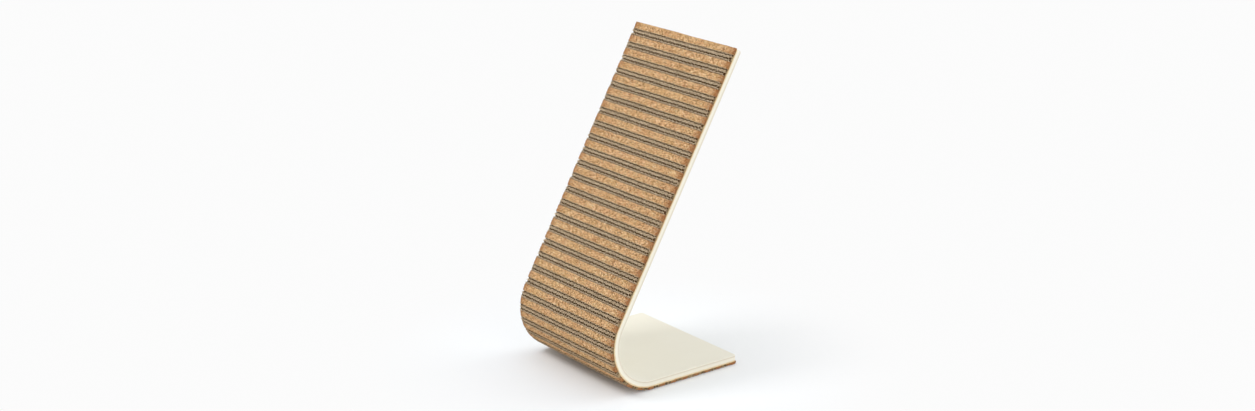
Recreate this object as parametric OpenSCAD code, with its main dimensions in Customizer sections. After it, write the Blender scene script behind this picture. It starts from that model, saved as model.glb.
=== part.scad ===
// Bent cat scratcher. A rigid board is bent into a leaning tall leg and a flat base.
// A mat of cork strips and corrugated card strips, laid across the width by turns,
// covers its outer face, from the top of the tall leg round the bend and under the base.
// X runs across the width, the front is -Y and +Z is up. The origin lies on the floor,
// under the middle of the bounding box. The path is measured from the top of the tall leg
// along the mat's outer face, and the depth from that face inwards.

/* [Legs and bend] */
// Width of the board and of the mat, which is the length of each strip
width = 200; // [120:1:320]
// Length of the straight part of the tall leg
tall_flat = 376; // [280:1:560]
// Radius of the bend at the mat's outer face
bend_r = 66.5; // [45:0.5:90]
// Angle between the tall leg and the floor
lean_angle = 60.4; // [50:0.1:68]

/* [Board] */
// Thickness of the bent board
board_t = 8; // [4:0.5:14]
// Radius of the board's four corners, seen square to its face
corner_r = 4; // [1:0.5:8]

/* [Scratch mat] */
// Thickness of the strips
strip_t = 4.5; // [2:0.25:10]
// Thickness of the adhesive sheet between the board and the strips
adhesive_t = 0.5; // [0.2:0.1:1.5]
// Thickness of one double-wall sheet of corrugated card, as cut for a strip
sheet_t = 4.6; // [2.5:0.1:6]
// Width of the last cork strip, at the free end of the base
end_cork_w = 16; // [10:0.5:24]

/* [Hidden] */

// Number of card strips, each between two cork strips
card_count = 34;
// Double-wall sheets glued face to face in one card strip
sheets_per_strip = 2;
// Flat steps that the bend is drawn in
bend_steps = 80;
// How far a cut runs past the face that it opens
cut_over = 1;
// Steps of the path nearer than this to a strip's end are left out
join_gap = 0.01;

$fn = 96;

board_color = "ivory";
adhesive_color = "khaki";
card_color = "tan";
cork_color = "peru";

// Depths of the layers, from the mat's outer face inwards
board_d = strip_t + adhesive_t;
total_t = board_d + board_t;

// The bend turns the path from the tall leg's slope to the floor
bend_angle = 180 - lean_angle;
bend_l = bend_r * bend_angle * PI / 180;

// The base ends plumb under the tall leg's inner top edge, so that both meet a wall behind
depth_y = bend_r * (1 - sin(bend_angle)) + tall_flat * cos(lean_angle) + total_t * sin(lean_angle);
base_flat = depth_y - bend_r;

// Where the bend and the base start on the path, and its whole length
bend_u = tall_flat;
base_u = bend_u + bend_l;
path_l = base_u + base_flat;

// The cork strips share the length that the card strips and the last cork strip leave
card_w = sheets_per_strip * sheet_t;
cork_w = (path_l - card_count * card_w - end_cork_w) / card_count;
pitch = cork_w + card_w;

// Start of a cork strip on the path, for k from 0 to card_count
function cork_u(k) = k * pitch;
// Width of that cork strip
function cork_l(k) = k == card_count ? end_cork_w : cork_w;
// Start of a card strip on the path, for k from 0 to card_count - 1
function card_u(k) = cork_u(k) + cork_w;

// Place on the path, for u along it and d in depth, in the plane across the bend's axis
function tall_point(u, d) = bend_r * [1, 1] - (bend_r - d) * [sin(bend_angle), cos(bend_angle)]
    + (bend_u - u) * [cos(lean_angle), sin(lean_angle)];
function bend_point(u, d) = let (a = (base_u - u) / bend_l * bend_angle)
    bend_r * [1, 1] - (bend_r - d) * [sin(a), cos(a)];
function base_point(u, d) = [bend_r + u - base_u, d];
function path_point(u, d) = u <= bend_u ? tall_point(u, d) : u < base_u ? bend_point(u, d) : base_point(u, d);

// Steps along the path from u0 to u1, with all of the bend's own steps between them
function path_steps(u0, u1) =
    let (bend_grid = [for (i = [0 : bend_steps]) bend_u + i * bend_l / bend_steps])
    [u0, each [for (u = bend_grid) if (u > u0 + join_gap && u < u1 - join_gap) u], u1];

// Places what is drawn with the bend's front at y = 0 over the origin
module in_place() translate([0, -depth_y / 2, 0]) children();

// Tall leg: x runs across, y up the leg from the bend and z from the inner face outwards
module on_tall()
    translate([0, bend_r * (1 - sin(bend_angle)), bend_r * (1 - cos(bend_angle))])
        rotate([lean_angle, 0, 0]) translate([0, 0, -total_t]) children();

// Base: x runs across, y back from the bend and z from the outer face inwards
module on_base() translate([0, bend_r, 0]) children();

// Part of a layer, from u0 to u1 on the path and from d0 to d1 in depth
module layer(u0, u1, d0, d1)
    let (steps = path_steps(u0, u1), last = len(steps) - 1)
        rotate([90, 0, 90]) linear_extrude(width, center = true)
            polygon([for (u = steps) path_point(u, d0), for (i = [last : -1 : 0]) path_point(steps[i], d1)]);

// What comes off at the two corners of a leg's free end, l from the bend, to make them round
module corner_cuts(l)
    for (side = [0, 1]) mirror([side, 0, 0])
        translate([width / 2 - corner_r, l - corner_r, -cut_over]) linear_extrude(total_t + 2 * cut_over)
            difference() {
                square(corner_r + cut_over);
                circle(corner_r);
            }

// Rounds the free corners of what it is given, at both ends of the path
module round_corners() difference() {
    children();
    on_tall() corner_cuts(tall_flat);
    on_base() corner_cuts(base_flat);
}

// The bent board: tall leg, bend and base in one piece
module bent_board() color(board_color) in_place()
    round_corners() layer(0, path_l, board_d, total_t);

// The adhesive sheet that holds the strips to the board's outer face
module adhesive_sheet() color(adhesive_color) in_place()
    round_corners() layer(0, path_l, strip_t, board_d);

// One card strip: double-wall sheets glued face to face, with their cut edge outwards
module card_strip(k) color(card_color) in_place()
    layer(card_u(k), card_u(k) + card_w, 0, strip_t);

// One cork strip; the first and the last share the board's round corners
module cork_strip(k) color(cork_color) in_place()
    if (k == 0 || k == card_count)
        round_corners() layer(cork_u(k), cork_u(k) + cork_l(k), 0, strip_t);
    else
        layer(cork_u(k), cork_u(k) + cork_l(k), 0, strip_t);

// Cork strips side by side in one node, from the a-th to the b-th
module cork_strips(a, b) for (k = [a - 1 : b - 1]) cork_strip(k);

module card_strip_01() card_strip(0);
module card_strip_02() card_strip(1);
module card_strip_03() card_strip(2);
module card_strip_04() card_strip(3);
module card_strip_05() card_strip(4);
module card_strip_06() card_strip(5);
module card_strip_07() card_strip(6);
module card_strip_08() card_strip(7);
module card_strip_09() card_strip(8);
module card_strip_10() card_strip(9);
module card_strip_11() card_strip(10);
module card_strip_12() card_strip(11);
module card_strip_13() card_strip(12);
module card_strip_14() card_strip(13);
module card_strip_15() card_strip(14);
module card_strip_16() card_strip(15);
module card_strip_17() card_strip(16);
module card_strip_18() card_strip(17);
module card_strip_19() card_strip(18);
module card_strip_20() card_strip(19);
module card_strip_21() card_strip(20);
module card_strip_22() card_strip(21);
module card_strip_23() card_strip(22);
module card_strip_24() card_strip(23);
module card_strip_25() card_strip(24);
module card_strip_26() card_strip(25);
module card_strip_27() card_strip(26);
module card_strip_28() card_strip(27);
module card_strip_29() card_strip(28);
module card_strip_30() card_strip(29);
module card_strip_31() card_strip(30);
module card_strip_32() card_strip(31);
module card_strip_33() card_strip(32);
module card_strip_34() card_strip(33);
module cork_strips_01_to_03() cork_strips(1, 3);
module cork_strips_04_to_06() cork_strips(4, 6);
module cork_strips_07_to_09() cork_strips(7, 9);
module cork_strips_10_to_12() cork_strips(10, 12);
module cork_strips_13_to_15() cork_strips(13, 15);
module cork_strips_16_to_18() cork_strips(16, 18);
module cork_strips_19_to_21() cork_strips(19, 21);
module cork_strips_22_to_24() cork_strips(22, 24);
module cork_strips_25_to_27() cork_strips(25, 27);
module cork_strips_28_to_30() cork_strips(28, 30);
module cork_strips_31_to_33() cork_strips(31, 33);
module cork_strips_34_to_35() cork_strips(34, 35);

bent_board();
adhesive_sheet();
card_strip_01();
card_strip_02();
card_strip_03();
card_strip_04();
card_strip_05();
card_strip_06();
card_strip_07();
card_strip_08();
card_strip_09();
card_strip_10();
card_strip_11();
card_strip_12();
card_strip_13();
card_strip_14();
card_strip_15();
card_strip_16();
card_strip_17();
card_strip_18();
card_strip_19();
card_strip_20();
card_strip_21();
card_strip_22();
card_strip_23();
card_strip_24();
card_strip_25();
card_strip_26();
card_strip_27();
card_strip_28();
card_strip_29();
card_strip_30();
card_strip_31();
card_strip_32();
card_strip_33();
card_strip_34();
cork_strips_01_to_03();
cork_strips_04_to_06();
cork_strips_07_to_09();
cork_strips_10_to_12();
cork_strips_13_to_15();
cork_strips_16_to_18();
cork_strips_19_to_21();
cork_strips_22_to_24();
cork_strips_25_to_27();
cork_strips_28_to_30();
cork_strips_31_to_33();
cork_strips_34_to_35();
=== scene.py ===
import math

import bmesh
import bpy
from bpy.props import FloatProperty, FloatVectorProperty, IntProperty, PointerProperty
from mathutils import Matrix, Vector, noise


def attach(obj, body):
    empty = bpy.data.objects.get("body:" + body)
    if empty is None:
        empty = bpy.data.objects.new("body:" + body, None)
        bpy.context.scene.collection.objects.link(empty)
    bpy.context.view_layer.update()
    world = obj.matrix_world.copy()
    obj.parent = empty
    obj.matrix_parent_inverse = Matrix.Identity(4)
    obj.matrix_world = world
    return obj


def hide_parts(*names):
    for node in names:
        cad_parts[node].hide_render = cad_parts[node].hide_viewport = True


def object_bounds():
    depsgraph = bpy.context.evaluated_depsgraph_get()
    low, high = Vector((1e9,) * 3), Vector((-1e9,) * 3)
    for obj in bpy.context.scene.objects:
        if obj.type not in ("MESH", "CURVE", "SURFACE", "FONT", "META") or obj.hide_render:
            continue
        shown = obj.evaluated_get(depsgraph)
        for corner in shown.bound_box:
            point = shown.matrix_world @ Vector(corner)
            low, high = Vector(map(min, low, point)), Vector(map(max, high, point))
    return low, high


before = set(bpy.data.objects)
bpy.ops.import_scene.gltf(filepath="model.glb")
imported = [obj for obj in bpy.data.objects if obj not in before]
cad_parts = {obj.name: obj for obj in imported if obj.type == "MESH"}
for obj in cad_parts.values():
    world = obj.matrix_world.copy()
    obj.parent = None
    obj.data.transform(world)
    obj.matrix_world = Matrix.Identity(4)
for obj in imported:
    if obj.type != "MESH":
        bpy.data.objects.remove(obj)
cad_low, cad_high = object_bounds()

bl_info = {
    "name": "Bent Cat Scratcher",
    "version": (1, 0, 0),
    "blender": (4, 5, 0),
    "location": "3D View > Sidebar > Scratcher",
    "description": "A painted bent board with a mat of cork strips and corrugated card strips",
    "category": "Object",
}

MM = 0.001
BODY = "root"
CARD_NODES = sorted(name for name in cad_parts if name.startswith("card_strip_"))
CORK_NODES = sorted(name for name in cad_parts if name.startswith("cork_strips_"))
FULL_WIDTH = cad_high.x - cad_low.x
WHITE = (1.0, 1.0, 1.0)
# Strength of the light from all round, and half the floor's width in metres
SKY_LIGHT = 0.62
FLOOR_REACH = 12.0
# Columns of points in one wave of a flute, and across the width of a flat liner
WAVE_COLUMNS = 6
LINER_COLUMNS = 90
# Faces in the board's round-over, and in each rounded corner
ROUND_OVER_STEPS = 5
CORNER_STEPS = 8
# The cork strips' points: how far apart across the width, and how many along
CORK_STEP = 0.75 * MM
CORK_ROWS = 13
NODES_IN_ROW = 14


# ---------------- settings

def length(name, text, millimetres):
    return FloatProperty(name=name, description=text, default=millimetres * MM,
                         min=0, unit="LENGTH", subtype="DISTANCE", precision=5)


def degrees(name, text, default):
    return FloatProperty(name=name, description=text, default=math.radians(default),
                         subtype="ANGLE", unit="ROTATION")


def flutes(name, text, number, most):
    return FloatProperty(name=name, description=text, default=number, min=4, max=most)


def share(name, text, default):
    return FloatProperty(name=name, description=text, default=default,
                         min=0, max=1, subtype="FACTOR")


def paint(name, text, red, green, blue):
    return FloatVectorProperty(name=name, description=text, size=3, min=0, max=1,
                               default=linear(red, green, blue), subtype="COLOR")


def linear(*screen):
    """Turns 0 to 255 screen values into the linear ones that Blender's nodes use."""
    tones = [tone / 255 for tone in screen]
    return tuple(t / 12.92 if t <= 0.04045 else ((t + 0.055) / 1.055) ** 2.4 for t in tones)


class LegsSettings(bpy.types.PropertyGroup):
    """The bent path that the board and the mat follow, with the solids' own sizes."""
    width: length("Width", "Width of the board, and length of each strip", FULL_WIDTH / MM)
    tall_leg: length("Tall leg", "Length of the tall leg's straight part", 376)
    bend_radius: length("Bend radius", "Radius of the bend at the mat's outer face", 66.5)
    lean: degrees("Lean", "Angle between the tall leg and the floor", 60.4)
    strip_depth: length("Strip thickness", "Thickness of the strips", 4.5)
    glue_depth: length("Glue thickness", "Thickness of the glue between mat and board", 0.5)
    board_depth: length("Board thickness", "Thickness of the bent board", 8)
    waver: length("Waver", "How far the strips' long edges wander from a straight line", 0.3)


class BoardSettings(bpy.types.PropertyGroup):
    """The painted board."""
    corner: length("Corner radius", "Radius of the board's four corners", 4)
    round_over: length("Round-over", "Radius of the long inner edges", 0.8)
    groove: length("Groove", "Depth of the fine line beside the round-over", 0.16)
    groove_width: length("Groove width", "Width of the fine line beside the round-over", 1.5)
    color: paint("Paint", "Colour of the paint", 242, 239, 225)
    shade: paint("Thin paint", "Colour of the paint where it lies thinner", 236, 232, 216)
    stain: paint("Glue stain", "Colour where glue has crept onto the paint", 229, 207, 164)
    gloss: share("Roughness", "Roughness of the paint", 0.42)


class GlueSettings(bpy.types.PropertyGroup):
    """The line of glue that shows between the mat and the board."""
    bead: length("Bead", "How far the glue stands proud of the edge", 0.22)
    color: paint("Glue", "Colour of the glue", 236, 217, 170)
    soiled: paint("Soiled glue", "Colour of the glue where cork dust sticks to it", 206, 164, 108)


class CardSettings(bpy.types.PropertyGroup):
    """The strips of corrugated card, each of two double-wall sheets."""
    sheet: length("Sheet", "Thickness of one double-wall sheet", 4.6)
    large_waves: flutes("Large flutes", "Large flutes across the width", 26.8, 80)
    fine_waves: flutes("Fine flutes", "Fine flutes across the width", 43.2, 120)
    large_height: length("Large flute height", "Height of the large flutes", 2.4)
    paper: length("Paper", "Thickness of the card's paper", 0.27)
    fray: length("Fray", "How far the cut edges of the paper wander in depth", 0.45)
    crumple: length("Crumple", "How far the paper is pushed out of line at the cut", 0.8)
    seed: IntProperty(name="Seed", description="Number that starts the wear of the card", default=4)
    color: paint("Paper", "Colour of the paper", 176, 142, 102)
    cut: paint("Cut edge", "Colour of the frayed cut edges", 244, 221, 187)
    side: paint("Side ends", "Colour of the paper at the strips' two ends", 216, 198, 162)
    # Painted shade deep inside the flutes
    painted_flute_shade: paint("Flutes", "Colour deep inside the flutes", 68, 37, 10)


class CorkSettings(bpy.types.PropertyGroup):
    """The strips of pressed cork."""
    grain: length("Grain", "Size of the cork's grains", 1.2)
    relief: length("Relief", "Depth of the surface between the grains", 0.4)
    wear: length("Wear", "How far the strips' edges are worn back", 0.5)
    end_width: length("Last strip", "Width of the last strip, at the end of the base", 16)
    seed: IntProperty(name="Seed", description="Number that starts the cork's grain", default=11)
    light: paint("Light grains", "Colour of the palest grains", 255, 230, 186)
    middle: paint("Grains", "Colour of most grains", 224, 179, 127)
    dark: paint("Dark grains", "Colour of the darkest grains", 128, 80, 42)
    # Painted shade between the grains and where the face lies deeper
    painted_recess_shade: paint("Gaps", "Colour between the grains", 98, 58, 28)
    end: paint("Sawn ends", "Colour of the strips' sawn ends", 182, 108, 58)


class StageSettings(bpy.types.PropertyGroup):
    """The floor, the lamps and the camera."""
    floor: paint("Floor", "Colour of the floor", 243, 242, 240)
    azimuth: degrees("Azimuth", "Camera's way round the object", 52.3)
    elevation: degrees("Elevation", "Camera's height above the horizon", 17.5)
    distance: length("Distance", "From the camera to the middle of the object", 2490)
    lens: FloatProperty(name="Lens", description="Focal length in millimetres", default=55.5)
    backdrop: share("Backdrop", "Strength of the white behind the object", 0.97)


SETTINGS = {
    "scratcher_legs": LegsSettings, "scratcher_board": BoardSettings,
    "scratcher_glue": GlueSettings, "scratcher_card": CardSettings,
    "scratcher_cork": CorkSettings, "scratcher_stage": StageSettings,
}


# ---------------- node trees

def both_ways(operation):
    """The two methods that let a wire stand before or after this sign."""
    return (lambda wire, other: wire.net.math(operation, wire, other),
            lambda wire, other: wire.net.math(operation, other, wire))


class Wire:
    """A node's output that can stand in a formula. Each sign in it adds a Math node."""
    __add__, __radd__ = both_ways("ADD")
    __sub__, __rsub__ = both_ways("SUBTRACT")
    __mul__, __rmul__ = both_ways("MULTIPLY")
    __truediv__, __rtruediv__ = both_ways("DIVIDE")
    __pow__, __rpow__ = both_ways("POWER")

    def __init__(self, net, socket):
        self.net, self.socket = net, socket

    def __abs__(self):
        return self.net.math("ABSOLUTE", self)


class Net:
    """Writes one node tree."""

    def __init__(self, tree):
        self.tree, self.count = tree, 0

    def node(self, kind, plugs=None, **settings):
        node = self.tree.nodes.new(kind)
        row, column = divmod(self.count, NODES_IN_ROW)
        node.location = (200 * column, -260 * row)
        self.count += 1
        for key, value in settings.items():
            setattr(node, key, value)
        self.plug_all(node, plugs or {})
        return node

    def plug_all(self, node, plugs):
        for key, value in plugs.items():
            self.plug(node.inputs[key] if isinstance(key, int) else shown(node.inputs, key), value)

    def plug(self, socket, value):
        if isinstance(value, Wire):
            self.tree.links.new(value.socket, socket)
        elif socket.type == "RGBA" and len(value) == 3:
            socket.default_value = (*value, 1)
        else:
            socket.default_value = value

    def out(self, node, name=None):
        if name is None:
            return Wire(self, next(s for s in node.outputs if s.enabled))
        return Wire(self, shown(node.outputs, name))

    def get(self, kind, plugs=None, output=None, **settings):
        """The output of a new node."""
        return self.out(self.node(kind, plugs, **settings), output)

    def math(self, operation, *values, clamp=False):
        return self.get("ShaderNodeMath", dict(enumerate(values)), operation=operation,
                        use_clamp=clamp)

    def clip(self, value, low, high):
        return self.math("MINIMUM", self.math("MAXIMUM", value, low), high)

    def vector(self, operation, *values):
        node = self.node("ShaderNodeVectorMath", operation=operation)
        for slot, value in enumerate(values):
            self.plug(node.inputs[slot] if operation != "SCALE" or slot == 0
                      else shown(node.inputs, "Scale"), value)
        return self.out(node)

    def position(self):
        return self.get("GeometryNodeInputPosition")

    def split(self, vector):
        node = self.node("ShaderNodeSeparateXYZ", {0: vector})
        return [self.out(node, axis) for axis in "XYZ"]

    def join(self, x, y, z):
        return self.get("ShaderNodeCombineXYZ", {0: x, 1: y, 2: z})

    def ease(self, value, low, high, start=0.0, end=1.0):
        """Runs smoothly from start to end as value goes from low to high."""
        return self.get("ShaderNodeMapRange", {
            "Value": value, "From Min": low, "From Max": high, "To Min": start, "To Max": end},
            interpolation_type="SMOOTHSTEP")

    def noise(self, vector, size, seed=0.0, detail=1.0, rough=0.5):
        """Even noise from 0 to 1, whose waves are about size long."""
        return self.get("ShaderNodeTexNoise", {
            "Vector": vector, "W": seed, "Scale": 1 / size, "Detail": detail,
            "Roughness": rough}, noise_dimensions="4D")

    def cells(self, vector, size, output="Distance"):
        """Grains about size across: the distance to the nearest grain's middle, or its colour."""
        return self.get("ShaderNodeTexVoronoi", {"Vector": vector, "Scale": 1 / size}, output)

    def chance(self, *values):
        """A fixed random number from 0 to 1 for up to three values."""
        vector = self.join(*values, *[0.0] * (3 - len(values)))
        return self.get("ShaderNodeTexWhiteNoise", {0: vector}, "Value", noise_dimensions="3D")

    def blend(self, amount, first, second):
        """The first colour at 0, the second at 1."""
        return self.get("ShaderNodeMix", {"Factor": amount, "A": first, "B": second},
                        data_type="RGBA")


def shown(sockets, name):
    """The enabled socket of that name: several nodes hold one for each kind of value."""
    return next(s for s in sockets if s.enabled and s.name == name)


SOCKETS = {float: "NodeSocketFloat", int: "NodeSocketInt", tuple: "NodeSocketColor"}


def group(name, kind, inputs, outputs):
    """A new node group, and the wires of its inputs by name."""
    tree = bpy.data.node_groups.new(name, kind)
    for title, item in inputs.items():
        style = item if isinstance(item, str) else SOCKETS[type(item)]
        socket = tree.interface.new_socket(name=title, in_out="INPUT", socket_type=style)
        if not isinstance(item, str):
            socket.default_value = (*item, 1) if isinstance(item, tuple) else item
    for title, style in outputs.items():
        tree.interface.new_socket(name=title, in_out="OUTPUT", socket_type=style)
    net = Net(tree)
    source = net.node("NodeGroupInput")
    return net, {title: Wire(net, source.outputs[title]) for title in inputs}


def finish_group(net, **results):
    sink = net.node("NodeGroupOutput")
    for name, wire in results.items():
        net.plug(sink.inputs[name.replace("_", " ")], wire)
    return net.tree


GEOMETRY = "NodeSocketGeometry"


def store(net, geometry, name, value):
    """Keeps a value with each point of the mesh, for the material and for later nodes."""
    return net.get("GeometryNodeStoreNamedAttribute",
                   {"Geometry": geometry, "Name": name, "Value": value},
                   data_type="FLOAT", domain="POINT")


def stored(net, name):
    return net.get("GeometryNodeInputNamedAttribute", {"Name": name}, "Attribute",
                   data_type="FLOAT")


def place_at(net, geometry, position):
    return net.get("GeometryNodeSetPosition", {"Geometry": geometry, "Position": position})


def call(net, tree, kind, plugs):
    node = net.node(kind)
    node.node_tree = tree
    for name, value in plugs.items():
        net.plug(node.inputs[name], value)
    return node


# ---------------- the bent path

class Path:
    """The bent path in the solids' frame. Along runs down the tall leg, round the bend and
    under the base, and depth runs inwards from the mat's outer face."""

    def __init__(self, legs):
        self.legs = legs
        self.turn = math.pi - legs.lean
        self.bend_start = legs.tall_leg
        self.bend_end = legs.tall_leg + legs.bend_radius * self.turn
        self.layers = legs.strip_depth + legs.glue_depth + legs.board_depth
        depth_y = (legs.bend_radius * (1 - math.sin(self.turn))
                   + legs.tall_leg * math.cos(legs.lean) + self.layers * math.sin(legs.lean))
        self.length = self.bend_end + depth_y - legs.bend_radius
        self.shift = depth_y / 2

    def place(self, across, along, depth):
        legs = self.legs
        radius = legs.bend_radius
        angle = min(max((self.bend_end - along) / radius, 0), self.turn)
        up = max(self.bend_start - along, 0)
        out = max(along - self.bend_end, 0)
        return Vector((
            across,
            radius - (radius - depth) * math.sin(angle) + up * math.cos(legs.lean) + out
            - self.shift,
            radius - (radius - depth) * math.cos(angle) + up * math.sin(legs.lean)))


PATH_INPUTS = {"Tall leg": 0.376, "Bend radius": 0.0665, "Lean": 1.05, "Shift": 0.1,
               "Waver": 0.0003}


def path_values(path):
    legs = path.legs
    return {"Tall leg": legs.tall_leg, "Bend radius": legs.bend_radius, "Lean": legs.lean,
            "Shift": path.shift, "Waver": legs.waver}


def lay_on_path_tree():
    """Carries flat geometry, across in X, along in Y and in depth in Z, onto the bent path."""
    net, given = group("Lay on the bent path", "GeometryNodeTree",
                       {"Geometry": GEOMETRY, **PATH_INPUTS}, {"Geometry": GEOMETRY})
    radius, tall, lean = given["Bend radius"], given["Tall leg"], given["Lean"]
    position = net.position()
    across, along, depth = net.split(position)
    wander = net.noise(net.vector("MULTIPLY", position, (1.0, 2.5, 0.0)), 0.06, detail=2.0) - 0.5
    along = along + wander * given["Waver"] * 4
    turn = math.pi - lean
    end = tall + radius * turn
    angle = net.clip((end - along) / radius, 0.0, turn)
    up = net.math("MAXIMUM", tall - along, 0.0)
    out = net.math("MAXIMUM", along - end, 0.0)
    reach = radius - depth
    y = (radius - reach * net.math("SINE", angle) + up * net.math("COSINE", lean) + out
         - given["Shift"])
    z = radius - reach * net.math("COSINE", angle) + up * net.math("SINE", lean)
    return finish_group(net, Geometry=place_at(net, given["Geometry"], net.join(across, y, z)))


def laid_and_finished(net, given, strip, path_tree, smooth):
    """The end of a strip's tree: onto the path, made real and given its material."""
    laid = net.out(call(net, path_tree, "GeometryNodeGroup",
                        {"Geometry": strip, **{name: given[name] for name in PATH_INPUTS}}))
    laid = net.get("GeometryNodeSetShadeSmooth", {"Geometry": laid, "Shade Smooth": smooth})
    whole = net.get("GeometryNodeRealizeInstances", {"Geometry": laid})
    return finish_group(net, Geometry=net.get(
        "GeometryNodeSetMaterial", {"Geometry": whole, "Material": given["Material"]}))


# ---------------- corrugated card

def card_ply_tree():
    """One sheet of paper, flat for a liner and waved for a medium, standing on its glued edge.
    Few columns make a wave, so that its walls are steep and its crests lie along the liners."""
    net, given = group("Card ply", "GeometryNodeTree", {
        "Width": 0.2, "Depth": 0.0045, "Columns": 160, "Phase": 0.0,
        "Place": 0.0, "Wave height": 0.0, "Paper": 0.0003, "Fuzz": 1.4, "Ply": 0.0, "Fine": 0.0,
        "Sunk": 0.0,
    }, {"Geometry": GEOMETRY})
    cube = net.get("GeometryNodeMeshCube", {"Size": (1, 1, 1), "Vertices X": given["Columns"],
                                            "Vertices Y": 2, "Vertices Z": 3}, "Mesh")
    sideways, thick, deep = net.split(net.position())
    behind = deep + 0.5
    column = (sideways + 0.5) * (given["Columns"] - 1)
    turn = (column + given["Phase"]) * (math.tau / WAVE_COLUMNS)
    wave = net.clip(net.math("COSINE", turn) * 1.6, -1.0, 1.0)
    # Both faces stand off the middle of the paper at a right angle, also on the walls, and
    # the paper is thickest where its cut edge is frayed
    waved = net.math("GREATER_THAN", given["Wave height"], 0.0)
    heft = thick * given["Paper"] * (given["Fuzz"] + (0.9 - given["Fuzz"]) * behind)
    aslant = net.math("SINE", turn) * waved
    aside = heft * aslant * 0.65
    heft = heft * (1 - abs(aslant) * 0.1)
    # The middle row of points lies near the cut edge, where the paper is bent
    depth = given["Depth"] * behind ** 2.4
    along = given["Place"] + wave * given["Wave height"] * 0.5 + heft
    # The values are stored first, because they are worked out from the cube's own places
    sheet, pitch = cube, given["Width"] * WAVE_COLUMNS / (given["Columns"] - 1)
    for name, value in (("front", 1 - behind), ("swing", wave * pitch), ("ply", given["Ply"]),
                        ("fine", given["Fine"]), ("sunk", given["Sunk"])):
        sheet = store(net, sheet, name, value)
    return finish_group(net, Geometry=place_at(
        net, sheet, net.join(sideways * given["Width"] + aside, along, depth)))


def card_strip_tree(path_tree):
    """A strip of sheets glued face to face: large flutes, then fine ones, between liners."""
    net, given = group("Corrugated card strip", "GeometryNodeTree", {
        "Geometry": GEOMETRY, "Width": 0.2, "Start": 0.0, "Depth": 0.0045,
        "Sheet": 0.0046, "Large columns": 162, "Fine columns": 260, "Large height": 0.0021,
        "Paper": 0.0003, "Fray": 0.0004, "Crumple": 0.0005, "Seed": 0.0,
        "Material": "NodeSocketMaterial", **PATH_INPUTS,
    }, {"Geometry": GEOMETRY})
    ply_tree = card_ply_tree()
    paper, large, sheet = given["Paper"], given["Large height"], given["Sheet"]
    fine = sheet - paper * 3 - large
    seed = given["Seed"]

    joined = net.node("GeometryNodeJoinGeometry")

    def ply(number, place, columns, height=0.0, fuzz=1.5, fine=0.0, sunk=0.0):
        phase = net.math("FLOOR", net.chance(seed, float(number)) * WAVE_COLUMNS)
        net.plug(joined.inputs[0], net.out(call(net, ply_tree, "GeometryNodeGroup", {
            "Width": given["Width"], "Depth": given["Depth"], "Columns": columns,
            "Phase": phase, "Place": place, "Wave height": height, "Paper": paper,
            "Fuzz": fuzz, "Ply": float(number), "Fine": fine, "Sunk": sunk})))

    # The first sheet's fine flutes are squashed, the second sheet's large ones stand tall, and
    # the liners next to the cork are worn back. A ply's number starts its own wear.
    squash = fine * 0.25
    spare = fine * 0.18
    start = given["Start"]
    ply(0, start + paper * 0.5, LINER_COLUMNS, fuzz=1.1, sunk=0.6 * MM)
    ply(1, start + paper + large * 0.5, given["Large columns"], large, 1.9, sunk=0.3 * MM)
    ply(2, start + paper * 1.5 + large, LINER_COLUMNS, fuzz=1.6)
    ply(3, start + paper * 2 + large + (fine - squash) * 0.5, given["Fine columns"],
        fine - squash, 1.6, 0.8)
    ply(4, start + paper * 2.5 + large + fine - squash, LINER_COLUMNS, fuzz=1.2)
    start = start + sheet - squash
    tall = large + squash + spare
    ply(7, start + paper * 0.5, LINER_COLUMNS, fuzz=1.1)
    ply(8, start + paper + tall * 0.5, given["Large columns"], tall, 1.9, sunk=0.15 * MM)
    ply(9, start + paper * 1.5 + tall, LINER_COLUMNS, fuzz=1.9)
    ply(10, start + paper * 2 + tall + (fine - spare + paper) * 0.5, given["Fine columns"],
        fine - spare + paper, 1.6)
    ply(11, start + paper * 2.5 + tall + fine - spare, LINER_COLUMNS, fuzz=1.1, sunk=2.0 * MM)
    real = net.out(joined)

    position = net.position()
    across, along, depth = net.split(position)
    front = stored(net, "front")
    own = stored(net, "ply") + seed * 1.37
    line, hand = net.join(across, given["Start"], 0.0), net.math("SIGN", across)
    half = given["Width"] * 0.5
    near_end = net.ease(abs(across), half - 8 * MM, half)
    # Flutes lean over and are pushed in where the card was cut and scratched
    lean = (net.noise(line, 8 * MM, own, 1.0) - 0.5) * stored(net, "swing") * 1.5
    push = (net.noise(line, 3.1 * MM, own + 31.7, 1.0) - 0.5) * given["Crumple"] * 1.1
    sway = (net.noise(position, 9 * MM, seed, 1.0) - 0.5) * given["Crumple"] * 2.2
    across_new = across + (lean + push * 0.6) * (0.25 + front * 0.75)
    splay = (along - given["Start"] - sheet) * front ** 3.0 * 0.06
    along_new = along + (push + sway) * (0.2 + front * 0.8) + splay
    # Each ply ends a little short of the edge, and its end bows down
    short = net.chance(own, hand) * 1.1 * MM * (0.2 + front * 0.8)
    across_new = across_new - hand * near_end * short
    limit = half - 0.02 * MM
    across_new = net.clip(across_new, limit * -1, limit)
    ragged = net.noise(net.join(across, own, 0.0), 1.1 * MM, own + 5.1, 2.0)
    worn = net.ease(net.noise(line, 26 * MM, seed + 3.3), 0.45, 0.75)
    sink = (ragged * given["Fray"] + worn * 0.35 * MM
            + near_end * net.noise(line, 5 * MM, own + 9.9) * 0.8 * MM
            + stored(net, "sunk"))
    torn = place_at(net, real, net.join(across_new, along_new, depth + sink * front))
    torn = store(net, torn, "tone", net.chance(own, 0.5))
    return laid_and_finished(net, given, torn, path_tree, smooth=False)


# ---------------- cork

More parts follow.
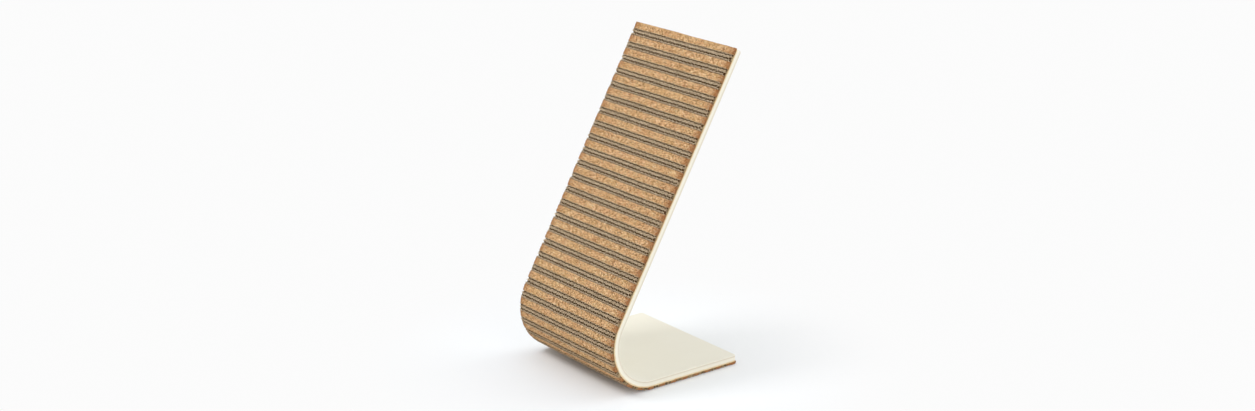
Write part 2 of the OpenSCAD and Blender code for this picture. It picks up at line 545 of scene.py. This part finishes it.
def cork_strip_tree(path_tree):
    """Strips of pressed cork, side by side a pitch apart, with a granular face and worn edges."""
    net, given = group("Pressed cork strips", "GeometryNodeTree", {
        "Geometry": GEOMETRY, "Width": 0.2, "Start": 0.0, "Strip width": 0.0095, "Pitch": 0.0188,
        "Count": 3, "Last stretch": 1.0, "Depth": 0.0045, "Steps across": 260, "Steps along": 13,
        "Grain": 0.0015, "Relief": 0.0004, "Wear": 0.0005, "Seed": 0.0,
        "Material": "NodeSocketMaterial", **PATH_INPUTS,
    }, {"Geometry": GEOMETRY})
    width, seed, wear = given["Width"], given["Seed"], given["Wear"]
    half = width * 0.5
    bar = net.get("GeometryNodeMeshCube", {
        "Size": net.join(width, given["Strip width"], given["Depth"]),
        "Vertices X": given["Steps across"], "Vertices Y": given["Steps along"],
        "Vertices Z": 6}, "Mesh")
    x, y, z = net.split(net.position())
    from_edge = y / given["Strip width"] * 2
    behind = z / given["Depth"] + 0.5
    bar = store(net, bar, "edge", from_edge)
    bar = store(net, bar, "front", 1 - behind)
    bar = place_at(net, bar, net.join(x, y + given["Strip width"] * 0.5,
                                      z + given["Depth"] * 0.5))
    line = net.get("GeometryNodeMeshLine", {
        "Count": given["Count"], "Start Location": net.join(0.0, given["Start"], 0.0),
        "Offset": net.join(0.0, given["Pitch"], 0.0)})
    number = net.get("GeometryNodeInputIndex")
    last = net.math("COMPARE", number, given["Count"] - 1, 0.1)
    stretch = 1 + last * (given["Last stretch"] - 1)
    bars = net.get("GeometryNodeInstanceOnPoints", {
        "Points": line, "Instance": bar, "Scale": net.join(1.0, stretch, 1.0)})
    real = net.get("GeometryNodeRealizeInstances", {"Geometry": bars})

    position = net.position()
    across, along, depth = net.split(position)
    front, edge = stored(net, "front"), stored(net, "edge")
    face = net.ease(front, 0.8, 1.0)
    grain = net.ease(net.cells(position, given["Grain"] * 1.5), 0.15, 0.85)
    fine = net.ease(net.noise(position, given["Grain"], seed, 2.0), 0.3, 0.7)
    soft = net.ease(net.noise(position, given["Grain"] * 4, seed + 2.2, 2.0), 0.25, 0.75)
    pits = net.ease(net.noise(position, given["Grain"] * 1.6, seed + 7.7, 1.0), 0.58, 0.75)
    rim = net.ease(abs(edge), 0.55, 1.0)
    near_end = net.ease(abs(across), half - 4 * MM, half)
    sink = face * (given["Relief"] * (grain * 0.8 + fine * 0.9 + soft * 0.9 + pits * 1.2)
                   + wear * rim * (0.35 + fine) + wear * near_end * (0.5 + fine * 1.2))
    draw_in = net.math("SIGN", edge) * net.ease(abs(edge), 0.7, 1.0) * wear * (
        0.1 + front * front * 1.1) * (soft * 0.9 + fine * 0.7)
    square = net.ease(abs(across), half - 0.6 * MM, half)
    end_in = net.math("SIGN", across) * square * (
        given["Relief"] * (grain + fine + pits) + wear * front * fine)
    moved = place_at(net, real, net.join(across - end_in, along - draw_in, depth + sink))
    return laid_and_finished(net, given, moved, path_tree, smooth=True)


# ---------------- making meshes

def new_object(name, data):
    piece = bpy.data.objects.new(name, data)
    bpy.context.collection.objects.link(piece)
    return piece


def aim(piece, place, target):
    """Stands a lamp or the camera there, turned to the target."""
    piece.location = place
    piece.rotation_mode = "QUATERNION"
    piece.rotation_quaternion = (target - place).to_track_quat("-Z", "Y")


def grown(name, tree, values):
    """A new object whose plain mesh is what the tree makes with these input values."""
    mesh = bpy.data.meshes.new(name)
    piece = new_object(name, mesh)
    modifier = piece.modifiers.new("Grow", "NODES")
    modifier.node_group = tree
    for socket in tree.interface.items_tree:
        if socket.item_type == "SOCKET" and socket.in_out == "INPUT" and socket.name in values:
            modifier[socket.identifier] = values[socket.name]
    shapes = bpy.context.evaluated_depsgraph_get()
    result = bpy.data.meshes.new_from_object(piece.evaluated_get(shapes), depsgraph=shapes)
    piece.modifiers.remove(modifier)
    piece.data = result
    result.name = name
    bpy.data.meshes.remove(mesh)
    if not result.vertices:
        raise RuntimeError(f"{name} came out empty")
    # The node that sets the material leaves an empty slot before it
    if len(result.materials) > 1 and result.materials[0] is None:
        result.materials.pop(index=0)
    return piece


def hand_over(piece, slot, *nodes):
    """The finished piece stands for these solids and rides with them."""
    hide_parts(*nodes)
    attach(piece, BODY)


def outline_rows(path, step, bend_step):
    """Where along the path the board's and the glue's cross-sections stand."""
    rows, place, margin = [], 0.0, 4 * MM
    while place < path.length - 1e-6:
        rows.append(place)
        bends = path.bend_start - margin < place < path.bend_end + margin
        place += bend_step if bends else step
    return [row for row in rows if row < path.length - bend_step / 2]


def outline_side(path, corner, rows, inset):
    """The plan's right side, top end to base end: across, along and the outward direction."""
    half, radius, clear = path.legs.width / 2, corner - inset, corner * 1.02
    turns = [math.pi / 2 * step / CORNER_STEPS for step in range(CORNER_STEPS + 1)]
    arc = [(half - corner + radius * math.sin(turn), radius * math.cos(turn),
            math.sin(turn), math.cos(turn)) for turn in turns]
    top = [(x, corner - y, out_x, -out_u) for x, y, out_x, out_u in arc]
    straight = [(half - inset, row, 1.0, 0.0) for row in rows
                if clear < row < path.length - clear]
    base = [(x, path.length - corner + y, out_x, out_u) for x, y, out_x, out_u in arc[::-1]]
    return top + straight + base


def swept_slab(name, path, corner, rows, profile, bulge=None):
    """A closed slab along the path. Its edge follows the profile of insets and depths, from its
    outer face to its inner face. A bulge says how far a point moves outwards and inwards."""
    form = bmesh.new()
    rings = []
    for number, (inset, depth) in enumerate(profile):
        side = outline_side(path, corner, rows, inset)
        loop = []
        for hand in (1, -1):
            for across, along, out_x, out_u in side if hand > 0 else reversed(side):
                extra, lift = bulge(number, hand * across, along) if bulge else (0.0, 0.0)
                place = path.place(hand * (across + out_x * extra), along + out_u * extra,
                                   depth + lift)
                loop.append(form.verts.new(place))
        rings.append(loop)
    count = len(rings[0])
    half = count // 2
    for lower, upper in zip(rings, rings[1:]):
        for a in range(count):
            b = (a + 1) % count
            form.faces.new((lower[a], lower[b], upper[b], upper[a]))
    for ring, flip in ((rings[0], True), (rings[-1], False)):
        for a in range(half - 1):
            face = (ring[a], ring[a + 1], ring[count - 2 - a], ring[count - 1 - a])
            form.faces.new(reversed(face) if flip else face)
    bmesh.ops.recalc_face_normals(form, faces=form.faces)
    mesh = bpy.data.meshes.new(name)
    form.to_mesh(mesh)
    form.free()
    mesh.shade_smooth()
    return new_object(name, mesh)


# ---------------- materials

def mottle_group():
    """Soft cloudy change between two colours, for paint, glue, paper and cork alike."""
    net, given = group("Mottle", "ShaderNodeTree", {
        "Vector": "NodeSocketVector", "Size": 0.02, "Seed": 0.0, "Strength": 1.0,
        "First": (0.5, 0.5, 0.5), "Second": (0.4, 0.4, 0.4),
    }, {"Color": "NodeSocketColor", "Mask": "NodeSocketFloat"})
    clouds = net.noise(given["Vector"], given["Size"], given["Seed"], 5.0, 0.6)
    mask = net.math("MULTIPLY", net.ease(clouds, 0.34, 0.66), given["Strength"], clamp=True)
    return finish_group(net, Color=net.blend(mask, given["First"], given["Second"]), Mask=mask)


def fleck_group():
    """Scattered flecks of uneven size, for dust, bits of bark and loose fibres."""
    net, given = group("Flecks", "ShaderNodeTree", {
        "Vector": "NodeSocketVector", "Size": 0.001, "Amount": 0.2, "Seed": 0.0,
    }, {"Mask": "NodeSocketFloat"})
    size = given["Size"]
    ragged = net.get("ShaderNodeTexNoise", {
        "Vector": given["Vector"], "Scale": 1.7 / size, "Detail": 2.0}, "Color")
    shifted = net.vector("ADD", given["Vector"], net.join(given["Seed"], given["Seed"] * 0.37, 0.0))
    shifted = net.vector("ADD", shifted, net.vector("SCALE", ragged, size * 1.1))
    near = net.cells(shifted, size)
    chosen, breadth, _ = net.split(net.cells(shifted, size, "Color"))
    picked = net.math("LESS_THAN", chosen, given["Amount"])
    return finish_group(net, Mask=picked * net.ease(near, 0.25 + breadth * 0.45,
                                                    0.1 + breadth * 0.3))


def new_material(name):
    material = bpy.data.materials.new(name)
    material.use_nodes = True
    material.node_tree.nodes.clear()
    net = Net(material.node_tree)
    place = net.get("ShaderNodeTexCoord", output="Object")
    return material, net, place


def face_finish(net, color, roughness, height, bump, distance, specular=0.5):
    """The material's shader and output, with a bump from the height."""
    raised = net.get("ShaderNodeBump", {"Strength": bump, "Distance": distance, "Height": height})
    shader = net.get("ShaderNodeBsdfPrincipled", {
        "Base Color": color, "Roughness": roughness, "Specular IOR Level": specular,
        "Normal": raised})
    net.node("ShaderNodeOutputMaterial", {"Surface": shader})


def attribute(net, name):
    return net.get("ShaderNodeAttribute", output="Fac", attribute_name=name)


def use(net, tree, output, **plugs):
    node = call(net, tree, "ShaderNodeGroup", plugs)
    return net.out(node, output)


def straight_rays(net):
    """1 where the camera or a reflection sees the surface, 0 for the light it gives off."""
    seen = net.node("ShaderNodeLightPath")
    rays = net.math("MAXIMUM", net.out(seen, "Is Camera Ray"), net.out(seen, "Is Glossy Ray"))
    return net.math("MAXIMUM", rays, net.out(seen, "Is Transmission Ray"))


def paint_material(board, groove_at, mottle):
    material, net, place = new_material("Ivory paint")
    body = use(net, mottle, "Color", Vector=place, Size=0.12, First=board.color,
               Second=board.shade, Strength=0.45)
    painted_side_light, painted_edge_shade = linear(253, 247, 227), linear(220, 214, 196)
    dust = linear(210, 196, 172)
    from_glue = attribute(net, "from_glue")
    wander = net.noise(place, 5 * MM, 3.0, 3.0) * 1.8 * MM
    stained = net.ease(from_glue + wander, 3.3 * MM, 1.2 * MM)
    body = net.blend(stained * 0.8, body, board.stain)
    # Painted light makes the side a little lighter; painted shade darkens it softly towards the
    # fine line and along the fine line itself
    side = net.ease(from_glue, groove_at, groove_at - 2.5 * MM) * (1 - stained)
    body = net.blend(side * 0.25, body, painted_side_light)
    # Painted shade: the side darkens towards the fine line
    towards = (net.ease(from_glue, 2.5 * MM, groove_at)
               * net.ease(from_glue, groove_at + 1.6 * MM, groove_at))
    body = net.blend(towards * 0.3, body, painted_edge_shade)
    # Painted shade along the fine line; the dust colour stands for this shade
    line = net.ease(abs(from_glue - groove_at), 1.3 * MM, 0.2 * MM)
    body = net.blend(line * 0.5, body, dust)
    peel = net.noise(place, 2.6 * MM, 1.0, 3.0)
    rough = net.ease(net.noise(place, 0.05, 4.0, 3.0), 0.3, 0.7, board.gloss - 0.05,
                     board.gloss + 0.08)
    face_finish(net, body, rough, peel, 0.12, 0.4 * MM, specular=0.45)
    return material


def glue_material(glue, mottle, flecks):
    material, net, place = new_material("Glue")
    body = use(net, mottle, "Color", Vector=place, Size=0.009, Seed=1.0,
               First=glue.color, Second=glue.soiled, Strength=0.8)
    cork_dust = linear(166, 116, 70)
    dusty = use(net, flecks, "Mask", Vector=place, Size=0.0011, Amount=0.25, Seed=0.4)
    body = net.blend(dusty * 0.45, body, cork_dust)
    face_finish(net, body, 0.5, net.noise(place, 0.9 * MM, 2.0, 3.0), 0.4, 0.3 * MM)
    return material


def card_material(card, mottle, flecks):
    material, net, place = new_material("Corrugated card")
    darker_cut_patches, speck = linear(186, 160, 126), linear(92, 70, 48)
    brown_ply, soil = linear(130, 104, 74), linear(118, 90, 58)
    front, tone = attribute(net, "front"), attribute(net, "tone")
    across = abs(net.split(place)[0])
    # Painted shade darkens the flutes inside; where they end at the strip's side the paper is paler
    # and the painted shade weaker
    inside = net.ease(across, FULL_WIDTH / 2 - 0.4 * MM, FULL_WIDTH / 2 - 1.8 * MM)
    pulp = use(net, mottle, "Color", Vector=place, Size=0.004, Seed=2.0,
               First=card.color, Second=tuple(c * 0.72 for c in card.color), Strength=0.7)
    # Darker patches along the cut edges
    cut = use(net, mottle, "Color", Vector=place, Size=0.0016, Seed=5.0,
              First=card.cut, Second=darker_cut_patches, Strength=0.8)
    pulp = net.blend((1 - inside) * 0.6, pulp, card.side)
    body = net.blend(net.ease(front, 0.86, 0.99), pulp, cut)
    # Painted shade, deepening behind the cut edge and lighter in the fine flutes
    dark = net.ease(front, 0.97, 0.66) * (0.12 + inside * 0.8) * (
        1 - attribute(net, "fine") * 0.35)
    body = net.blend(dark, body, card.painted_flute_shade)
    specks = use(net, flecks, "Mask", Vector=place, Size=0.0011, Amount=0.12, Seed=0.9)
    body = net.blend(specks * 0.5, body, speck)
    body = net.blend(tone * 0.15, body, brown_ply)
    soiled = use(net, mottle, "Mask", Vector=place, Size=0.007, Seed=21.0)
    body = net.blend(soiled * 0.22, body, soil)
    face_finish(net, body, 0.92, net.noise(place, 0.35 * MM, 6.0, 3.0), 0.5, 0.12 * MM,
                specular=0.15)
    return material


def cork_material(cork, mottle, flecks):
    material, net, place = new_material("Pressed cork")
    red_cork, yellow_cork = linear(226, 162, 124), linear(210, 174, 110)
    dark_bark, pale_bit = linear(78, 46, 24), linear(244, 226, 190)
    sawn_bark, sawn_gap_shade = linear(112, 60, 32), linear(84, 44, 22)
    size = cork.grain
    wobble = net.vector("SCALE", net.get("ShaderNodeTexNoise", {
        "Vector": place, "Scale": 1 / size, "Detail": 1.0}, "Color"), size * 0.6)
    warped = net.vector("ADD", place, wobble)
    pick = net.split(net.cells(warped, size, "Color"))[0]
    small = net.split(net.cells(warped, size * 0.5, "Color"))[1]
    clump = net.ease(net.noise(place, size * 2.4, 4.0, 2.0), 0.3, 0.7)
    ramp = net.node("ShaderNodeValToRGB", {"Fac": pick * 0.5 + small * 0.2 + clump * 0.3})
    stops = ramp.color_ramp.elements
    tones = ((0.18, cork.dark), (0.4, cork.middle), (0.58, cork.middle), (0.78, cork.light))
    while len(stops) < len(tones):
        stops.new(0.5)
    for stop, (spot, tint) in zip(stops, tones):
        stop.position, stop.color = spot, (*tint, 1)
    body = net.out(ramp, "Color")
    # The block is pressed from batches of redder and yellower cork
    red = use(net, mottle, "Mask", Vector=place, Size=0.016, Seed=8.0)
    body = net.blend(red * 0.25, body, red_cork)
    yellow = use(net, mottle, "Mask", Vector=place, Size=0.022, Seed=15.0)
    body = net.blend(yellow * 0.2, body, yellow_cork)
    # Painted shade in the gaps between grains and crumbs
    from_grain, from_crumb = net.cells(warped, size), net.cells(warped, size * 0.5)
    gap_shade = net.math("MAXIMUM", net.ease(from_grain, 0.55, 0.85) * 0.55,
                    net.ease(from_crumb, 0.66, 0.94) * 0.35)
    body = net.blend(gap_shade, body, cork.painted_recess_shade)
    bark = use(net, flecks, "Mask", Vector=warped, Size=size, Amount=0.2, Seed=0.21)
    body = net.blend(bark * 0.9, body, dark_bark)
    pale = use(net, flecks, "Mask", Vector=warped, Size=size * 1.6, Amount=0.014, Seed=0.55)
    body = net.blend(pale * 0.85, body, pale_bit)
    # Sawn ends are redder and darker, and the tone runs a little way onto the face
    across = abs(net.split(place)[0])
    ragged = net.noise(place, 5 * MM, 3.0, 4.0) * 9 * MM
    end = net.ease(across + ragged, FULL_WIDTH / 2 - 10 * MM, FULL_WIDTH / 2 + 7 * MM) * 0.6
    end = net.math("MAXIMUM", end, net.ease(across, FULL_WIDTH / 2 - 0.9 * MM,
                                            FULL_WIDTH / 2 - 0.2 * MM) * 0.7)
    sawn = net.blend(net.ease(pick * 0.5 + small * 0.5, 0.3, 0.8), cork.end, sawn_bark)
    # The sawn ends' gaps get painted shade too
    body = net.blend(end, body, net.blend(gap_shade, sawn, sawn_gap_shade))
    # Painted shade where the face lies deeper, less at the sawn ends
    deep = net.ease(attribute(net, "front"), 0.9, 0.3) * (1 - end * 1.4)
    body = net.blend(deep * 0.4, body, cork.painted_recess_shade)
    grains = net.noise(place, size * 0.3, 1.0, 2.0) * 0.5 - from_grain - from_crumb * 0.4
    face_finish(net, body, 0.9, grains, 1.0, 0.5 * MM, specular=0.12)
    return material


def shared_groups():
    """The shader groups that several materials use, built once."""
    have = bpy.data.node_groups
    return (have.get("Mottle") or mottle_group(), have.get("Flecks") or fleck_group())


def shared_path_tree():
    return bpy.data.node_groups.get("Lay on the bent path") or lay_on_path_tree()


# ---------------- operators

def path_and(context, *names):
    """The path, its legs and the settings of these names."""
    scene = context.scene
    legs = scene.scratcher_legs
    return Path(legs), legs, *(getattr(scene, f"scratcher_{name}") for name in names)


class SCRATCHER_OT_board(bpy.types.Operator):
    """Makes the bent board: rounded corners, a fine line and a round-over along its inner edge"""
    bl_idname = "scratcher.make_board"
    bl_label = "Painted Board"

    def execute(self, context):
        path, legs, board = path_and(context, "board")
        outer = legs.strip_depth + legs.glue_depth
        inner = outer + legs.board_depth
        radius, groove, line = board.round_over, board.groove, board.groove_width
        edge = inner - radius - line
        profile = [(3.2 * MM, outer), (1.0 * MM, outer), (0.3 * MM, outer),
                   (0.08 * MM, outer + 0.08 * MM), (0.0, outer + 0.3 * MM),
                   (0.0, outer + 1.0 * MM), (0.0, outer + 2.0 * MM),
                   (0.0, edge - 0.6 * MM), (0.0, edge), (groove * 0.6, edge + line * 0.3),
                   (groove, edge + line * 0.5), (groove * 0.6, edge + line * 0.7),
                   (0.02 * MM, edge + line)]
        for step in range(1, ROUND_OVER_STEPS + 1):
            turn = math.pi / 2 * step / ROUND_OVER_STEPS
            profile.append((0.02 * MM + radius * (1 - math.cos(turn)),
                            inner - radius + radius * math.sin(turn)))
        profile += [(radius + 0.6 * MM, inner), (radius + 1.6 * MM, inner)]
        rows = outline_rows(path, 8 * MM, 1.5 * MM)
        piece = swept_slab("painted_board", path, board.corner, rows, profile)
        count = len(piece.data.vertices) // len(profile)
        depth = piece.data.attributes.new("from_glue", "FLOAT", "POINT")
        for number, (_, level) in enumerate(profile):
            for vertex in range(number * count, (number + 1) * count):
                depth.data[vertex].value = level - outer
        piece.data.materials.append(paint_material(board, edge + line / 2 - outer,
                                                   shared_groups()[0]))
        hand_over(piece, "board", "bent_board")
        return {"FINISHED"}


class SCRATCHER_OT_glue(bpy.types.Operator):
    """Makes the glue between mat and board, with an uneven bead along the edge"""
    bl_idname = "scratcher.make_glue"
    bl_label = "Glue Line"

    def execute(self, context):
        path, legs, board, glue = path_and(context, "board", "glue")
        low, high = legs.strip_depth, legs.strip_depth + legs.glue_depth
        profile = [(2.4 * MM, low), (1.2 * MM, low), (0.0, low), (0.0, low),
                   (0.0, (low + high) / 2), (0.0, high), (0.0, high), (1.2 * MM, high),
                   (2.4 * MM, high)]
        # For the profile's points on the edge: how far they are lifted and swell outwards
        lifts = {2: -0.05, 3: -0.3, 4: 0.0, 5: 0.35, 6: 0.6}
        swell = {2: -0.5, 3: 0.55, 4: 1.0, 5: 0.7, 6: 0.1}

        def bulge(ring, across, along):
            if ring not in swell:
                return 0.0, 0.0
            here = Vector((across * 9, along / (5 * MM), 0.0))
            drop = noise.noise(here) * 0.5 + 0.5
            spread = noise.noise(here * 1.9 + Vector((5, 0, ring))) * 0.5 + 0.6
            return swell[ring] * glue.bead * (0.35 + drop), lifts[ring] * MM * spread

        rows = outline_rows(path, 1.6 * MM, 1.6 * MM)
        piece = swept_slab("glue_line", path, board.corner, rows, profile, bulge)
        piece.data.materials.append(glue_material(glue, *shared_groups()))
        hand_over(piece, "adhesive", "adhesive_sheet")
        return {"FINISHED"}


def strip_start(path, card, cork, number):
    """Where cork strip number starts on the path, and how wide the cork strips are."""
    band = 2 * card.sheet
    wide = (path.length - len(CARD_NODES) * band - cork.end_width) / len(CARD_NODES)
    return number * (wide + band), wide


class SCRATCHER_OT_card(bpy.types.Operator):
    """Makes the corrugated card strips, with every flute and liner as paper"""
    bl_idname = "scratcher.make_card"
    bl_label = "Card Strips"

    def execute(self, context):
        path, legs, card, cork = path_and(context, "card", "cork")
        material = card_material(card, *shared_groups())
        tree = card_strip_tree(shared_path_tree())
        for number, node in enumerate(CARD_NODES):
            start, wide = strip_start(path, card, cork, number)
            piece = grown(f"fluted_{node}", tree, {
                **path_values(path), "Width": legs.width, "Start": start + wide,
                "Depth": legs.strip_depth, "Sheet": card.sheet,
                "Large columns": round(card.large_waves * WAVE_COLUMNS) + 1,
                "Fine columns": round(card.fine_waves * WAVE_COLUMNS) + 1,
                "Large height": card.large_height, "Paper": card.paper, "Fray": card.fray,
                "Crumple": card.crumple, "Seed": float(card.seed + number * 3),
                "Material": material})
            hand_over(piece, "card", node)
        return {"FINISHED"}


class SCRATCHER_OT_cork(bpy.types.Operator):
    """Makes the pressed cork strips, with grains, pits and worn edges"""
    bl_idname = "scratcher.make_cork"
    bl_label = "Cork Strips"

    def execute(self, context):
        path, legs, card, cork = path_and(context, "card", "cork")
        material = cork_material(cork, *shared_groups())
        tree = cork_strip_tree(shared_path_tree())
        for node in CORK_NODES:
            first, last = (int(part) for part in node.split("_") if part.isdigit())
            start, wide = strip_start(path, card, cork, first - 1)
            ends_mat = last == len(CARD_NODES) + 1
            piece = grown(node.replace("cork_strips", "grained_cork_strips"), tree, {
                **path_values(path), "Width": legs.width, "Start": start, "Strip width": wide,
                "Pitch": wide + 2 * card.sheet, "Count": last - first + 1,
                "Last stretch": cork.end_width / wide if ends_mat else 1.0,
                "Depth": legs.strip_depth, "Steps across": round(legs.width / CORK_STEP),
                "Steps along": CORK_ROWS, "Grain": cork.grain, "Relief": cork.relief,
                "Wear": cork.wear, "Seed": float(cork.seed), "Material": material})
            hand_over(piece, "cork", node)
        return {"FINISHED"}


class SCRATCHER_OT_stage(bpy.types.Operator):
    """Makes the pale floor, the soft lamps and the camera"""
    bl_idname = "scratcher.make_stage"
    bl_label = "Stage"

    def execute(self, context):
        stage = context.scene.scratcher_stage
        self.floor(stage)
        self.world(context.scene, stage)
        self.lamps()
        self.camera(context.scene, stage)
        context.scene.view_settings.view_transform = "Standard"
        return {"FINISHED"}

    def floor(self, stage):
        mesh = bpy.data.meshes.new("floor")
        corners = ((-1, -1), (1, -1), (1, 1), (-1, 1))
        mesh.from_pydata([(x * FLOOR_REACH, y * FLOOR_REACH, 0) for x, y in corners], [],
                         [(0, 1, 2, 3)])
        floor = new_object("floor", mesh)
        material, net, place = new_material("Pale floor")
        straight, seen_floor = straight_rays(net), (0.94, 0.97, 1.0)
        plain = net.get("ShaderNodeBsdfPrincipled", {
            "Base Color": net.blend(straight, stage.floor, seen_floor), "Roughness": 0.7,
            "Specular IOR Level": 0.2})
        x, y, _ = net.split(place)
        away = net.math("SQRT", x * x + y * y)
        far = net.ease(away, 0.05, 0.38) * straight
        glow = net.get("ShaderNodeEmission", {"Color": WHITE, "Strength": stage.backdrop})
        mixed = net.get("ShaderNodeMixShader", {0: far, 1: plain, 2: glow})
        net.node("ShaderNodeOutputMaterial", {"Surface": mixed})
        mesh.materials.append(material)

    def world(self, scene, stage):
        world = bpy.data.worlds.new("Studio")
        world.use_nodes = True
        world.node_tree.nodes.clear()
        net = Net(world.node_tree)
        light, back = (net.get("ShaderNodeBackground", {"Color": WHITE, "Strength": strength})
                       for strength in (SKY_LIGHT, stage.backdrop))
        mixed = net.get("ShaderNodeMixShader", {0: straight_rays(net), 1: light, 2: back})
        net.node("ShaderNodeOutputWorld", {"Surface": mixed})
        scene.world = world

    def lamps(self):
        for name, place, size, watts in (
                ("key lamp", (-0.7, -1.5, 2.3), 0.9, 26),
                ("side lamp", (2.3, -0.5, 1.2), 1.5, 13),
                ("back lamp", (0.8, 1.7, 1.3), 1.6, 12)):
            data = bpy.data.lights.new(name, "AREA")
            data.shape, data.size, data.energy = "SQUARE", size, watts
            aim(new_object(name, data), Vector(place), Vector((0, 0, 0.2)))

    def camera(self, scene, stage):
        data = bpy.data.cameras.new("camera")
        data.lens, data.sensor_width = stage.lens, 36
        data.clip_start, data.clip_end = 0.05, 60
        camera = new_object("camera", data)
        turn, tilt = stage.azimuth, stage.elevation
        back = Vector((math.sin(turn) * math.cos(tilt), -math.cos(turn) * math.cos(tilt),
                       math.sin(tilt)))
        middle = (cad_low + cad_high) / 2
        aim(camera, middle + back * stage.distance, middle)
        scene.camera = camera


class SCRATCHER_PT_panel(bpy.types.Panel):
    """Lists the pieces and their sizes."""
    bl_label = "Cat Scratcher"
    bl_space_type = "VIEW_3D"
    bl_region_type = "UI"
    bl_category = "Scratcher"

    def draw(self, context):
        for operator in OPERATORS:
            self.layout.operator(operator.bl_idname)
        for key, settings in SETTINGS.items():
            box = self.layout.box()
            for name in settings.__annotations__:
                box.prop(getattr(context.scene, key), name)


OPERATORS = (SCRATCHER_OT_board, SCRATCHER_OT_glue, SCRATCHER_OT_card, SCRATCHER_OT_cork,
             SCRATCHER_OT_stage)
CLASSES = (*SETTINGS.values(), *OPERATORS, SCRATCHER_PT_panel)


def register():
    for made in CLASSES:
        bpy.utils.register_class(made)
    for key, settings in SETTINGS.items():
        setattr(bpy.types.Scene, key, PointerProperty(type=settings))


def unregister():
    for key in SETTINGS:
        delattr(bpy.types.Scene, key)
    for made in reversed(CLASSES):
        bpy.utils.unregister_class(made)


def main():
    register()
    bpy.ops.scratcher.make_board()
    bpy.ops.scratcher.make_glue()
    bpy.ops.scratcher.make_card()
    bpy.ops.scratcher.make_cork()
    bpy.ops.scratcher.make_stage()


if __name__ == "__main__":
    main()
